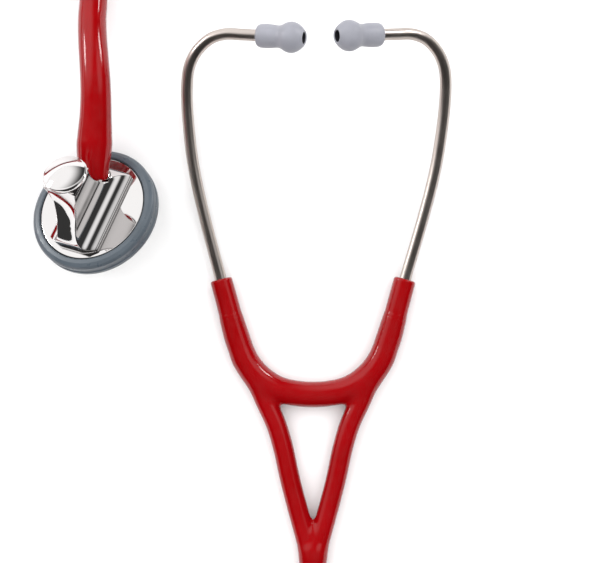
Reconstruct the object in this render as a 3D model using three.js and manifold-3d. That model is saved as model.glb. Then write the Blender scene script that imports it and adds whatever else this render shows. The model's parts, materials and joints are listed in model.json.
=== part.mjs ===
// Single-sided stethoscope lying on a table: chestpiece, tube, yoke, ear tubes and eartips.
// Millimetres, +Z up. The table is z = 0 and the object's box is centred on the origin.
// Before that final shift the layout's own origin is on the headset's axis of symmetry, +Y
// towards the eartips, and every position below is given in that layout frame.

import * as THREE from 'three';
import { mergeVertices } from 'three/addons/utils/BufferGeometryUtils.js';
import Module from 'manifold-3d';

const wasm = await Module();
wasm.setup();

// ---------------------------------------------------------------- driving dimensions

const GAP = 0.3; // clearance between pieces that touch
const SIDES = { left: -1, right: 1 };

const TUBE_RADIUS = 5.6;
const TUBE_SIDES = 10;
const TUBE_STEPS = 40;
const AXIS_HEIGHT = 5.6; // height of the yoke's and the tube's centreline

const ARM_RADIUS = 4.75;
const ARM_MOUTH = [38.4, 1];
const ARM_SOCKET_DEPTH = 15;
const FLEX_PIVOT = [30.8, -26];
const KNUCKLE_RADIUS = 5.7;
const FLEX_OUT = 15; // degrees that an arm swings outwards
const FLEX_IN = 2.5; // degrees that it swings inwards

const CROSSBAR_RADIUS = 5.3;
const LEG_RADIUS = 4.2;
const YOKE_END = -126;

const SPRING_HEIGHT = 6;
const SPRING_THICKNESS = 0.8;

const EAR_TUBE_RADIUS = 2.4;
const EAR_TUBE_BORE = 1.7;
const EAR_TUBE_INSERT = 14; // length of the ear tube inside its arm
const EAR_TUBE_LEAN = { left: 14.3, right: 16 }; // degrees between an arm's mouth axis and +Y
const EAR_TURN = { left: 20, right: 27 }; // degrees that each ear tube is turned up

const CLIP_LENGTH = 5;
const CLIP_RADIUS = 3.4;

const TIP_RADIUS = 6.5;
const TIP_LENGTH = 20.4;
const TIP_BORE = 1.9;
const CORE_RADIUS = 3.5;
const CORE_LENGTH = 6;

const CHEST_CENTRE = [-90.9, 30.2]; // centre of the back plate, seen from above
const CHEST_LEAN = { azimuth: 128.2, tilt: 31.3, spin: -138.8 }; // degrees
const RIM_RADIUS = 27;
const RIM_INNER = 23.1;
const RIM_FLOOR = -7.6;
const PLATE_RADIUS = 22.8;
const STEM_RISE = 30; // degrees between the stem and the plate
const STEM_SEAT = 11.4; // distance from the plate's centre to the end of the tube
const STEM_RADIUS = 3;
const STEM_BORE = 1.9;
const CUFF_RADIUS = 6.9;
const CUFF_LENGTH = 17;
const PILLAR_SPIN = -9.5; // degrees that the pillar is turned on the plate, away from the stem
const FOOT_RADIUS = 20.6;
const CAP_RADIUS = 9.2;
const CAP_CENTRE = [1.4, 29]; // along the pillar's Y and Z
const CAP_TILT = 14.5; // degrees that the cap's face leans to the stem
const DIAPHRAGM_RADIUS = 20.6;
const DIAPHRAGM_THICKNESS = 0.4;

// ---------------------------------------------------------------- materials

function material(name, color, roughness, metalness) {
  return new THREE.MeshStandardMaterial({ name, color, roughness, metalness });
}

const STEEL = material('polished_steel', 0xdfe0e2, 0.06, 1);
const TUBE_STEEL = material('satin_steel', 0xb4aaa2, 0.28, 1);
const RED = material('red_tubing', 0xa00010, 0.18, 0);
const RIM_GREY = material('grey_rim', 0x5a636c, 0.45, 0);
const TIP_GREY = material('grey_eartip', 0xa5a7b2, 0.5, 0);
const DISC_WHITE = material('diaphragm', 0xe4e2dc, 0.4, 0);
const SPRING_STEEL = material('spring_steel', 0x8a8d90, 0.35, 1);

// ---------------------------------------------------------------- helpers

const radians = THREE.MathUtils.degToRad;

function point([x, y], z = 0) {
  return new THREE.Vector3(x, y, z);
}

function mirrored([x, y], side) {
  return [side * x, y];
}

function solidOf(geometry, matrix = new THREE.Matrix4()) {
  const bare = geometry.clone().applyMatrix4(matrix);
  bare.deleteAttribute('normal');
  bare.deleteAttribute('uv');
  const merged = mergeVertices(bare, 1e-4);
  return new wasm.Manifold(new wasm.Mesh({
    numProp: 3,
    vertProperties: new Float32Array(merged.attributes.position.array),
    triVerts: new Uint32Array(merged.index.array),
  }));
}

function geometryOf(solid) {
  const mesh = solid.getMesh();
  const geometry = new THREE.BufferGeometry();
  const positions = new THREE.BufferAttribute(new Float32Array(mesh.vertProperties), mesh.numProp);
  geometry.setAttribute('position', positions);
  geometry.setIndex(new THREE.BufferAttribute(new Uint32Array(mesh.triVerts), 1));
  geometry.computeVertexNormals();
  return geometry;
}

function polygon(radius, sides) {
  const corners = [];
  for (let i = 0; i < sides; i += 1) {
    const angle = (2 * Math.PI * (i + 0.5)) / sides;
    corners.push(new THREE.Vector2(radius * Math.cos(angle), radius * Math.sin(angle)));
  }
  return corners;
}

function roundSection(radius, sides, bore = 0) {
  const shape = new THREE.Shape(polygon(radius, sides));
  if (bore > 0) {
    shape.holes.push(new THREE.Path(polygon(bore, sides).reverse()));
  }
  return shape;
}

function sweep(shape, points, steps) {
  const extrudePath = new THREE.CatmullRomCurve3(points, false, 'centripetal');
  return new THREE.ExtrudeGeometry(shape, { steps, extrudePath });
}

function lathe(profile, segments) {
  const points = profile.map(([r, z]) => new THREE.Vector2(r, z));
  return new THREE.LatheGeometry(points, segments).rotateX(Math.PI / 2);
}

// A straight cylinder along an axis given by its start and end.
function rod(from, to, radius, segments) {
  const axis = to.clone().sub(from);
  const geometry = new THREE.CylinderGeometry(radius, radius, axis.length(), segments);
  const turn = new THREE.Quaternion();
  turn.setFromUnitVectors(new THREE.Vector3(0, 1, 0), axis.clone().normalize());
  const middle = from.clone().add(to).multiplyScalar(0.5);
  const matrix = new THREE.Matrix4().compose(middle, turn, new THREE.Vector3(1, 1, 1));
  return solidOf(geometry, matrix);
}

function union(solids) {
  return solids.reduce((whole, solid) => whole.add(solid));
}

function piece(name, geometry, surface) {
  const mesh = new THREE.Mesh(geometry, surface);
  mesh.name = name;
  return mesh;
}

// ---------------------------------------------------------------- yoke and arms

// Centreline of one branch, from the arm's mouth down to the pivot.
const ARM_LINE = [ARM_MOUTH, [35.8, -8.5], [33.4, -17.5], FLEX_PIVOT];
// From the pivot round the bottom of the U to the middle of the crossbar.
const CROSSBAR_LINE = [FLEX_PIVOT, [27.8, -33.5], [22.5, -39.6], [14.2, -44.9], [0, -47.1]];
// From the pivot down the leg to the yoke's neck.
const LEG_LINE = [FLEX_PIVOT, [25.2, -38], [19.6, -50.2], [15.4, -59.4], [12.4, -69.4],
  [9.5, -82.7], [5.8, -96.9], [2.6, -108.5]];
const NECK_TOP = -105;

function axisPoints(line, side) {
  return line.map((place) => point(mirrored(place, side), AXIS_HEIGHT));
}

function crossbarPoints() {
  const right = axisPoints(CROSSBAR_LINE, 1);
  const left = axisPoints(CROSSBAR_LINE.slice(0, -1), -1);
  return [...left, ...right.reverse()];
}

function armAxis(name) {
  const lean = radians(EAR_TUBE_LEAN[name]);
  return new THREE.Vector3(SIDES[name] * Math.sin(lean), Math.cos(lean), 0);
}

// The room that an arm sweeps as it swings: everything past the pivot.
function swingRoom(name) {
  const side = SIDES[name];
  const reach = 60;
  const spread = radians(90 - FLEX_OUT - 8);
  const inner = radians(90 - FLEX_IN - 12);
  const along = radians(90 - EAR_TUBE_LEAN[name]);
  const outline = new THREE.Shape();
  outline.moveTo(0, 0);
  outline.lineTo(reach * Math.cos(along - spread), reach * Math.sin(along - spread));
  outline.lineTo(reach * Math.cos(along), reach * Math.sin(along));
  outline.lineTo(reach * Math.cos(along + inner), reach * Math.sin(along + inner));
  const wedge = new THREE.ExtrudeGeometry(outline, { depth: 40, bevelEnabled: false });
  const solid = solidOf(wedge, new THREE.Matrix4().makeTranslation(FLEX_PIVOT[0], FLEX_PIVOT[1], -10));
  return side > 0 ? solid : solid.mirror([1, 0, 0]);
}

function pivotPin(side, radius) {
  const place = mirrored(FLEX_PIVOT, side);
  return rod(point(place, -5), point(place, 25), radius, 24);
}

function springPath(trim) {
  const curve = new THREE.CatmullRomCurve3(crossbarPoints(), false, 'centripetal');
  const points = [];
  const count = 14;
  for (let i = 0; i <= count; i += 1) {
    points.push(curve.getPointAt(trim + (1 - 2 * trim) * (i / count)));
  }
  return points;
}

function springShape(growth) {
  const height = SPRING_HEIGHT / 2 + growth;
  const half = SPRING_THICKNESS / 2 + growth;
  return new THREE.Shape([
    new THREE.Vector2(-height, -half),
    new THREE.Vector2(height, -half),
    new THREE.Vector2(height, half),
    new THREE.Vector2(-height, half),
  ]);
}

function yoke() {
  const crossbar = solidOf(sweep(roundSection(CROSSBAR_RADIUS, 12), crossbarPoints(), 24));
  const neck = rod(point([0, NECK_TOP], AXIS_HEIGHT), point([0, YOKE_END], AXIS_HEIGHT), TUBE_RADIUS, 12);
  const legs = Object.values(SIDES).map((side) => (
    solidOf(sweep(roundSection(LEG_RADIUS, 12), axisPoints(LEG_LINE, side), 14))
  ));
  const slot = solidOf(sweep(springShape(GAP), springPath(0), 20));
  let body = union([crossbar, neck, ...legs]);
  Object.entries(SIDES).forEach(([name, side]) => {
    body = body.subtract(swingRoom(name)).subtract(pivotPin(side, KNUCKLE_RADIUS + GAP));
  });
  return piece('yoke', geometryOf(body.subtract(slot)), RED);
}

function headsetSpring() {
  return piece('headset_spring', sweep(springShape(0), springPath(0.075), 20), SPRING_STEEL);
}

function arm(name, side) {
  const path = axisPoints(ARM_LINE, side);
  const sleeve = solidOf(sweep(roundSection(ARM_RADIUS, 16), path, 8));
  const below = axisPoints(LEG_LINE.slice(0, 2), side);
  const stub = rod(below[0], below[0].clone().lerp(below[1], 0.35), ARM_RADIUS, 16);
  const knuckle = stub.intersect(pivotPin(side, KNUCKLE_RADIUS));
  const mouth = point(mirrored(ARM_MOUTH, side), AXIS_HEIGHT);
  const inwards = armAxis(name).negate();
  const floor = mouth.clone().addScaledVector(inwards, ARM_SOCKET_DEPTH);
  const outside = mouth.clone().addScaledVector(inwards, -5);
  const socket = rod(outside, floor, EAR_TUBE_RADIUS + GAP, 16);
  const clipFrom = mouth.clone().addScaledVector(inwards, ARM_SOCKET_DEPTH - CLIP_LENGTH - 1.6);
  const clipRoom = rod(clipFrom, floor, CLIP_RADIUS + GAP, 16);
  return piece(`arm_${name}`, geometryOf(sleeve.add(knuckle).subtract(socket).subtract(clipRoom)), RED);
}

// ---------------------------------------------------------------- ear tubes and eartips

// The ear tube in its own plane: distance along the arm's axis, then inwards from it.
const EAR_LINE = [[-EAR_TUBE_INSERT, 0], [0, 0], [25, -0.2], [40, 0.1], [51, 0.9], [63, 2.6], [74, 4.7],
  [83, 7.2], [88.7, 9.8], [93.9, 14.6], [97.3, 21.6], [97.5, 28.5], [95.4, 35.5]];
const TIP_SLOPE = radians(-18.3); // the eartip points square to the headset's axis, seen from above
const TIP_START = [93.1, 42.4];
const TUBE_IN_TIP = 7;

function earFrame(name, side) {
  const along = armAxis(name);
  const inwards = new THREE.Vector3(-side * along.y, side * along.x, 0);
  const frame = new THREE.Group();
  const turned = inwards.clone().applyAxisAngle(along, side * radians(EAR_TURN[name]));
  const normal = along.clone().cross(turned);
  frame.matrix.makeBasis(along, turned, normal);
  frame.matrix.setPosition(point(mirrored(ARM_MOUTH, side), AXIS_HEIGHT));
  frame.matrix.decompose(frame.position, frame.quaternion, frame.scale);
  return frame;
}

function tipDirection() {
  return new THREE.Vector3(Math.sin(TIP_SLOPE), Math.cos(TIP_SLOPE), 0);
}

function earTube(name) {
  const points = EAR_LINE.map((place) => point(place));
  const start = point(TIP_START);
  points.push(start, start.clone().addScaledVector(tipDirection(), TUBE_IN_TIP));
  return piece(name, sweep(roundSection(EAR_TUBE_RADIUS, 12, EAR_TUBE_BORE), points, 34), TUBE_STEEL);
}

function ring(name, inner, outer, from, to, surface, segments) {
  const profile = [[inner, from], [outer, from], [outer, to], [inner, to], [inner, from]];
  return piece(name, lathe(profile, segments), surface);
}

// The crimped clip near the ear tube's foot, which ties it to the headset spring.
function springClip(name) {
  const clip = ring(name, EAR_TUBE_RADIUS + GAP, CLIP_RADIUS, 0, CLIP_LENGTH, SPRING_STEEL, 16);
  clip.geometry.rotateY(Math.PI / 2);
  clip.position.set(-(ARM_SOCKET_DEPTH - 0.8), 0, 0);
  return clip;
}

// Profile of the soft eartip: collar, waist, bulb and the sound opening.
function eartip(name) {
  const core = CORE_RADIUS + GAP;
  const seat = CORE_LENGTH + 1;
  const entry = EAR_TUBE_RADIUS + GAP;
  const profile = [[entry, 0], [3.6, 0.2], [4.8, 1.6], [5, 3.4], [4.9, 7], [4.6, 8.8], [5, 10.4], [6.1, 12.4],
    [TIP_RADIUS, 14.2], [6.1, 16.4], [4.8, 18.8], [3.4, TIP_LENGTH - 0.2], [2.8, TIP_LENGTH],
    [TIP_BORE, TIP_LENGTH - 2], [TIP_BORE, seat + 0.8], [core, seat + 0.8], [core, 0.9], [entry, 0.9],
    [entry, 0]];
  return piece(name, lathe(profile, 20), TIP_GREY);
}

function eartipCore(name) {
  return ring(name, EAR_TUBE_RADIUS + GAP, CORE_RADIUS, 1.2, 1.2 + CORE_LENGTH, DISC_WHITE, 16);
}

function earAssembly(name, side) {
  const frame = earFrame(name, side);
  const tip = new THREE.Group();
  tip.position.copy(point(TIP_START));
  tip.quaternion.setFromUnitVectors(new THREE.Vector3(0, 0, 1), tipDirection());
  tip.add(eartip(`eartip_${name}`), eartipCore(`eartip_core_${name}`));
  frame.add(earTube(`ear_tube_${name}`), springClip(`spring_clip_${name}`), tip);
  return frame;
}

// ---------------------------------------------------------------- chestpiece

// Directions in the chestpiece's own frame: X across, Y towards the stem, Z out of the back plate.
const STEM_AXIS = new THREE.Vector3(0, Math.cos(radians(STEM_RISE)), Math.sin(radians(STEM_RISE)));

function onStem(distance) {
  return STEM_AXIS.clone().multiplyScalar(distance);
}

// A flat outline drawn in the plane across X, pushed out along X.
function acrossX(outline, halfWidth) {
  const geometry = new THREE.ExtrudeGeometry(outline, { depth: 2 * halfWidth, bevelEnabled: false });
  const axes = new THREE.Matrix4().makeBasis(
    new THREE.Vector3(0, 1, 0),
    new THREE.Vector3(0, 0, 1),
    new THREE.Vector3(1, 0, 0),
  );
  axes.setPosition(-halfWidth, 0, 0);
  return solidOf(geometry, axes);
}

// A flat outline drawn in the plane across Y, pushed out along Y.
function acrossY(outline, from, to) {
  const geometry = new THREE.ExtrudeGeometry(outline, {
    depth: to - from, bevelEnabled: false, curveSegments: 10,
  });
  const axes = new THREE.Matrix4().makeBasis(
    new THREE.Vector3(1, 0, 0),
    new THREE.Vector3(0, 0, 1),
    new THREE.Vector3(0, -1, 0),
  );
  axes.setPosition(0, to, 0);
  return solidOf(geometry, axes);
}

// Half the pillar's width against height: a low foot wall, a deep finger scoop and a flare to the cap.
const PILLAR_WIDTHS = [[11.2, 1.6], [9, 2.4], [7.2, 3.6], [5.6, 5.7], [4.85, 8], [4.6, 11], [4.9, 15],
  [5.5, 19], [6.4, 23], [7.4, 26], [8, 27.4]];
const FOOT_HALF = 11.6;
const FOOT_WALL = 1.2;
// The hollowed front and back against height, along the pillar's Y.
const PILLAR_FRONT = [[-20, 1.5], [-18.9, 5.5], [-15.7, 10], [-11.6, 14.6], [-8.7, 19.2], [-6.9, 24],
  [-6.2, 27.4]];
const PILLAR_BACK = [[18.2, 1.2], [13.9, 5], [10, 9], [7.6, 13], [6.6, 18], [6.6, 23], [6.8, 27.4]];

function splinePoints(places, count) {
  const curve = new THREE.SplineCurve(places.map(([u, v]) => new THREE.Vector2(u, v)));
  return curve.getPoints(count);
}

// The pillar's section across the scoops.
function pillarSection() {
  const right = [new THREE.Vector2(FOOT_HALF, -1), new THREE.Vector2(FOOT_HALF, FOOT_WALL),
    ...splinePoints(PILLAR_WIDTHS, 22)];
  const left = right.map(({ x, y }) => new THREE.Vector2(-x, y)).reverse();
  return new THREE.Shape([...right, ...left]);
}

// The pillar's side view.
function pillarSide() {
  const back = [new THREE.Vector2(PILLAR_BACK[0][0], -1), ...splinePoints(PILLAR_BACK, 14)];
  const front = [new THREE.Vector2(PILLAR_FRONT[0][0], -1), ...splinePoints(PILLAR_FRONT, 14)];
  return new THREE.Shape([...back, ...front.reverse()]);
}

function pillarTurn() {
  return new THREE.Matrix4().makeRotationZ(radians(PILLAR_SPIN));
}

function pillar() {
  const foot = solidOf(lathe([[0, -2], [FOOT_RADIUS, -2], [FOOT_RADIUS, 30], [0, 30]], 40));
  const block = acrossY(pillarSection(), -22, 22).intersect(acrossX(pillarSide(), 14)).intersect(foot);
  return block.transform(pillarTurn().toArray());
}

function cap() {
  const profile = [[0, -3.4], [CAP_RADIUS - 2.6, -3.4], [CAP_RADIUS - 0.3, -2.2], [CAP_RADIUS, -1.2],
    [CAP_RADIUS, 0.6], [CAP_RADIUS - 0.6, 1.3], [6, 2.2], [3, 2.6], [0, 2.7]];
  const place = new THREE.Matrix4().makeTranslation(0, ...CAP_CENTRE);
  place.premultiply(pillarTurn()).multiply(new THREE.Matrix4().makeRotationX(-radians(CAP_TILT)));
  return solidOf(lathe(profile, 32), place);
}

function chestpieceBody() {
  const plate = solidOf(lathe([[0, -2.4], [4, -2.6], [19.5, -4.6], [PLATE_RADIUS, -4.6],
    [PLATE_RADIUS, -0.4], [PLATE_RADIUS - 0.4, 0], [0, 0]], 48));
  const boss = rod(onStem(6), onStem(STEM_SEAT), 6.2, 24);
  const cuffRoom = rod(onStem(STEM_SEAT), onStem(STEM_SEAT + 30), CUFF_RADIUS + GAP, 32);
  const stemSeat = rod(onStem(STEM_SEAT - 7), onStem(STEM_SEAT + 5), STEM_RADIUS + GAP, 20);
  const channel = rod(onStem(1), onStem(STEM_SEAT), STEM_BORE, 16);
  const inlet = rod(new THREE.Vector3(0, 1.5, -8), new THREE.Vector3(0, 1.5, 2), STEM_BORE, 16);
  const pillarOnly = union([pillar(), cap(), boss]).subtract(cuffRoom);
  const body = pillarOnly.add(plate).subtract(union([stemSeat, channel, inlet]));
  return piece('chestpiece_body', geometryOf(body), STEEL);
}

function chestpieceStem() {
  const start = STEM_SEAT - 6.6;
  const end = STEM_SEAT + CUFF_LENGTH - 3;
  const profile = [[STEM_BORE, start], [STEM_RADIUS, start], [STEM_RADIUS, end - 9],
    [STEM_RADIUS + 0.5, end - 8.6], [STEM_RADIUS, end - 6], [STEM_RADIUS + 0.5, end - 5.6],
    [STEM_RADIUS - 0.3, end], [STEM_BORE, end], [STEM_BORE, start]];
  return piece('chestpiece_stem', lathe(profile, 20), STEEL);
}

function tubeCuff() {
  const from = STEM_SEAT + GAP;
  const to = STEM_SEAT + CUFF_LENGTH;
  const bore = STEM_RADIUS + 0.5 + GAP;
  const profile = [[0, to - 2.4], [bore, to - 2.4], [bore, from], [CUFF_RADIUS - 0.7, from],
    [CUFF_RADIUS - 0.4, from + 1], [CUFF_RADIUS, from + 10], [TUBE_RADIUS, to], [0, to]];
  return piece('tube_cuff', lathe(profile, 20), RED);
}

function chestpieceRim() {
  const profile = [[RIM_INNER, 0.1], [RIM_INNER, -7.1], [21.6, -7.1], [21.6, RIM_FLOOR], [26, RIM_FLOOR],
    [RIM_RADIUS - 0.2, -6.8], [RIM_RADIUS - 0.1, -5.3], [26.6, -4.9], [26.5, -3.3], [RIM_RADIUS, -2.9],
    [RIM_RADIUS, -1.8], [26.4, -0.5], [25.2, 0.3], [RIM_INNER + 0.5, 0.5], [RIM_INNER, 0.1]];
  return piece('chestpiece_rim', lathe(profile, 48), RIM_GREY);
}

function diaphragm() {
  const low = -6.8;
  const profile = [[0, low], [DIAPHRAGM_RADIUS, low], [DIAPHRAGM_RADIUS, low + DIAPHRAGM_THICKNESS],
    [0, low + DIAPHRAGM_THICKNESS]];
  return piece('diaphragm', lathe(profile, 40), DISC_WHITE);
}

function diaphragmSurround() {
  return ring('diaphragm_surround', DIAPHRAGM_RADIUS + GAP, RIM_INNER - GAP, -6.7, -6.3, RIM_GREY, 40);
}

function chestpieceTurn() {
  const upright = new THREE.Vector3(0, 0, 1);
  const turn = new THREE.Quaternion().setFromAxisAngle(upright, radians(CHEST_LEAN.azimuth));
  const tilt = new THREE.Quaternion().setFromAxisAngle(new THREE.Vector3(0, 1, 0), radians(CHEST_LEAN.tilt));
  const spin = new THREE.Quaternion().setFromAxisAngle(upright, radians(CHEST_LEAN.spin));
  return turn.multiply(tilt).multiply(spin);
}

// The rim's lowest edge stands on the table.
function chestpieceHeight() {
  const tilt = radians(CHEST_LEAN.tilt);
  const edge = (radius, z) => radius * Math.sin(tilt) - z * Math.cos(tilt);
  return Math.max(edge(RIM_RADIUS - 0.2, -6.8), edge(26, RIM_FLOOR));
}

function chestpiece() {
  const group = new THREE.Group();
  group.position.copy(point(CHEST_CENTRE, chestpieceHeight()));
  group.quaternion.copy(chestpieceTurn());
  const alongStem = new THREE.Group();
  alongStem.quaternion.setFromUnitVectors(new THREE.Vector3(0, 0, 1), STEM_AXIS);
  alongStem.add(chestpieceStem(), tubeCuff());
  group.add(chestpieceBody(), chestpieceRim(), diaphragm(), diaphragmSurround(), alongStem);
  return group;
}

// ---------------------------------------------------------------- tube

// Where the free tube ends: the far face of the cuff on the chestpiece's stem.
function cuffEnd(extra = 0) {
  const place = onStem(STEM_SEAT + CUFF_LENGTH + GAP + extra).applyQuaternion(chestpieceTurn());
  return place.add(point(CHEST_CENTRE, chestpieceHeight()));
}

// The free tube's route on the table, from the yoke, round the left side and back to the chestpiece.
const TUBE_ROUTE = [[0, YOKE_END - GAP, 5.6], [0, -140, 5.6], [-3.7, -156.4, 5.6], [-11.8, -169.7, 5.6],
  [-25.3, -180.3, 5.6], [-41.7, -185.1, 5.6], [-66.3, -183.2, 5.6], [-96.2, -171.1, 5.6],
  [-116.3, -157.7, 5.6], [-131.7, -142.4, 5.6], [-146.3, -119.4, 5.6], [-156.9, -84.5, 5.6],
  [-158.5, -26, 5.6], [-161.5, 33.1, 5.6], [-172.4, 78.7, 5.6], [-182.1, 115.1, 5.6],
  [-180.7, 136.3, 5.6], [-172, 152.9, 5.6], [-156.3, 164.9, 5.6], [-136.7, 168.9, 5.6],
  [-118.4, 164.6, 5.65], [-104, 153.8, 5.9], [-94.9, 139.5, 7.5], [-91, 123.8, 11.2],
  [-91, 107.7, 17.5], [-90.6, 100.5, 20.9], [-89.6, 89.5, 24.3], [-88.9, 79.2, 25.7]];

function tube() {
  const route = TUBE_ROUTE.map(([x, y, z]) => new THREE.Vector3(x, y, z));
  const points = [...route, cuffEnd(11), cuffEnd()];
  return piece('tube', sweep(roundSection(TUBE_RADIUS, TUBE_SIDES), points, TUBE_STEPS), RED);
}

// ---------------------------------------------------------------- whole object

const stethoscope = new THREE.Group();
stethoscope.add(yoke(), headsetSpring(), chestpiece(), tube());
Object.entries(SIDES).forEach(([name, side]) => {
  stethoscope.add(arm(name, side), earAssembly(name, side));
});

// The tube is a free cord, so the object's box is measured without it.
function centreOnTable(group) {
  group.updateMatrixWorld(true);
  const box = new THREE.Box3();
  group.traverse((node) => {
    if (node.isMesh && node.name !== 'tube') {
      box.expandByObject(node, true);
    }
  });
  const centre = box.getCenter(new THREE.Vector3());
  group.position.set(-centre.x, -centre.y, -box.min.z);
}

centreOnTable(stethoscope);

export default stethoscope;
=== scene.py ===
"""Stethoscope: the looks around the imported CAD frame. Metres, in the CAD model's own frame."""
import json
import math

import bmesh
import bpy
import numpy as np
from mathutils import Matrix, Vector


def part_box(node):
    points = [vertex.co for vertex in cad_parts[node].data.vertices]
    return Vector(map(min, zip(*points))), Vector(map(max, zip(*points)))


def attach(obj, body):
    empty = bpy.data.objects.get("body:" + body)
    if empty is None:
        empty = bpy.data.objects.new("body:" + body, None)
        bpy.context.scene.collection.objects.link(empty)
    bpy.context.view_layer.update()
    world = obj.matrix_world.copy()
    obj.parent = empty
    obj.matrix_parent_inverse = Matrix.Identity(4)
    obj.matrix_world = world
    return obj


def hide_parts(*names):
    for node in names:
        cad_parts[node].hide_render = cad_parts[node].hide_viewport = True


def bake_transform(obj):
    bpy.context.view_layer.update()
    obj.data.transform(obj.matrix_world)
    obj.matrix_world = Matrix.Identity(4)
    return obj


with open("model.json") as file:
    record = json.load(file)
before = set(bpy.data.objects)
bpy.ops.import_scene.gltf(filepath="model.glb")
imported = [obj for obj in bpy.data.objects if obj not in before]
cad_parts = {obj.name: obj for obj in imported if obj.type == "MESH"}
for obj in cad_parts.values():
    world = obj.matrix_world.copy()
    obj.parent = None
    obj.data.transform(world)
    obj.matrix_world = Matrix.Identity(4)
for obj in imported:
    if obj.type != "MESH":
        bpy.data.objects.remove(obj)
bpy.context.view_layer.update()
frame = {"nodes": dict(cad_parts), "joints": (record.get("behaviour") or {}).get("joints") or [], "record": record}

MM = 0.001
SIDES = {"left": -1, "right": 1}
JOINTS = {joint["name"]: joint for joint in frame["joints"]}

# ---------------------------------------------------------------- driving dimensions, millimetres

YOKE_END = -126
AXIS_HEIGHT = 5.6
TUBE_RADIUS = 5.6
EAR_TUBE_RADIUS = 2.4
EAR_TUBE_BORE = 1.7
TUBE_IN_TIP = 7
STEM_RISE = 30
STEM_SEAT = 11.4
CUFF_LENGTH = 17
GAP = 0.3
CHEST_LEAN = {"azimuth": 128.2, "tilt": 31.3, "spin": -138.8}
DIAPHRAGM_LOW = 6.8

# The layout's own origin lies on the headset's axis, so both of its offsets come from the frame.
spring_low, spring_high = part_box("headset_spring")
yoke_low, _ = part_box("yoke")
ORIGIN = Vector(((spring_low.x + spring_high.x) / 2, yoke_low.y - YOKE_END * MM, 0))


def layout(x, y, z=0.0):
    """A place given in the layout's millimetres, in the frame's metres."""
    return ORIGIN + Vector((x, y, z)) * MM


# ---------------------------------------------------------------- camera

CAMERA_HEIGHT = 1006
CAMERA_ABOVE = (-5.42, 0)
VIEW_WIDTH = 250
VIEW_DISTANCE = 1000
SENSOR = 36


def make_camera():
    data = bpy.data.cameras.new("camera")
    data.sensor_fit = "HORIZONTAL"
    data.sensor_width = SENSOR
    data.lens = SENSOR * VIEW_DISTANCE / VIEW_WIDTH
    data.clip_start = 0.01
    data.clip_end = 20
    camera = bpy.data.objects.new("camera", data)
    camera.location = layout(*CAMERA_ABOVE, CAMERA_HEIGHT)
    bpy.context.scene.collection.objects.link(camera)
    bpy.context.scene.camera = camera


# ---------------------------------------------------------------- curves and meshes

def smooth_line(points, step):
    """Centripetal Catmull-Rom curve through the points, sampled about every step, with arc lengths."""
    points = [np.array(point, float) for point in points]
    ends = [2 * points[0] - points[1]] + points + [2 * points[-1] - points[-2]]
    samples = []
    for a, b, c, d in zip(ends, ends[1:], ends[2:], ends[3:]):
        gaps = [np.linalg.norm(q - p) ** 0.5 for p, q in ((a, b), (b, c), (c, d))]
        leave = (b - a) / gaps[0] - (c - a) / (gaps[0] + gaps[1]) + (c - b) / gaps[1]
        arrive = (c - b) / gaps[1] - (d - b) / (gaps[1] + gaps[2]) + (d - c) / gaps[2]
        leave, arrive = leave * gaps[1], arrive * gaps[1]
        count = max(1, round(np.linalg.norm(c - b) / step))
        for t in np.arange(count) / count:
            samples.append(
                b + leave * t
                + (3 * (c - b) - 2 * leave - arrive) * t ** 2
                + (2 * (b - c) + leave + arrive) * t ** 3
            )
    samples.append(points[-1])
    samples = np.array(samples)
    lengths = np.linalg.norm(np.diff(samples, axis=0), axis=1)
    return samples, np.concatenate([[0], np.cumsum(lengths)])


def turning_frames(samples):
    """A pair of side directions at each sample, turning as little as possible along the line."""
    tangents = np.gradient(samples, axis=0)
    tangents /= np.linalg.norm(tangents, axis=1)[:, None]
    side = np.cross(tangents[0], (0, 0, 1) if abs(tangents[0][2]) < 0.9 else (1, 0, 0))
    sides = []
    for tangent in tangents:
        side = side - tangent * side.dot(tangent)
        side /= np.linalg.norm(side)
        sides.append(side)
    sides = np.array(sides)
    return sides, np.cross(tangents, sides)


def new_object(name, vertices, faces, material, uvs=None):
    """A smooth-shaded mesh in the scene, with one UV a vertex if they are given."""
    mesh = bpy.data.meshes.new(name)
    mesh.from_pydata([tuple(v) for v in vertices], [], [tuple(map(int, f)) for f in faces])
    if uvs is not None:
        layer = mesh.uv_layers.new(name="uv")
        loops = np.empty(len(mesh.loops), np.int32)
        mesh.loops.foreach_get("vertex_index", loops)
        layer.data.foreach_set("uv", np.asarray(uvs, np.float32)[loops].ravel())
    mesh.polygons.foreach_set("use_smooth", [True] * len(mesh.polygons))
    mesh.materials.append(material)
    mesh.validate()
    mesh.update()
    item = bpy.data.objects.new(name, mesh)
    bpy.context.scene.collection.objects.link(item)
    return item


def grid_faces(rows, columns, closed_rows=False):
    """Quads of a grid whose columns wrap round, and whose rows do too if they are closed."""
    faces = []
    for i in range(rows if closed_rows else rows - 1):
        for j in range(columns):
            k = (j + 1) % columns
            n = (i + 1) % rows
            faces.append((i * columns + j, i * columns + k, n * columns + k, n * columns + j))
    return faces


def swept_tube(name, samples, radii, sides, material):
    """A closed round tube along the samples, in metres, with its length and girth as UVs."""
    across, up = turning_frames(samples)
    angles = np.linspace(0, 2 * math.pi, sides, endpoint=False)
    ring = np.cos(angles)[:, None] * across[:, None, :] + np.sin(angles)[:, None] * up[:, None, :]
    vertices = (samples[:, None, :] + np.asarray(radii)[:, None, None] * ring).reshape(-1, 3)
    along = np.concatenate([[0], np.cumsum(np.linalg.norm(np.diff(samples, axis=0), axis=1))])
    uvs = np.stack([np.repeat(along, sides), np.tile(angles / (2 * math.pi), len(samples))], 1)
    faces = grid_faces(len(samples), sides)
    faces.append(tuple(range(sides - 1, -1, -1)))
    last = (len(samples) - 1) * sides
    faces.append(tuple(range(last, last + sides)))
    return new_object(name, vertices, faces, material, uvs)


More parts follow.
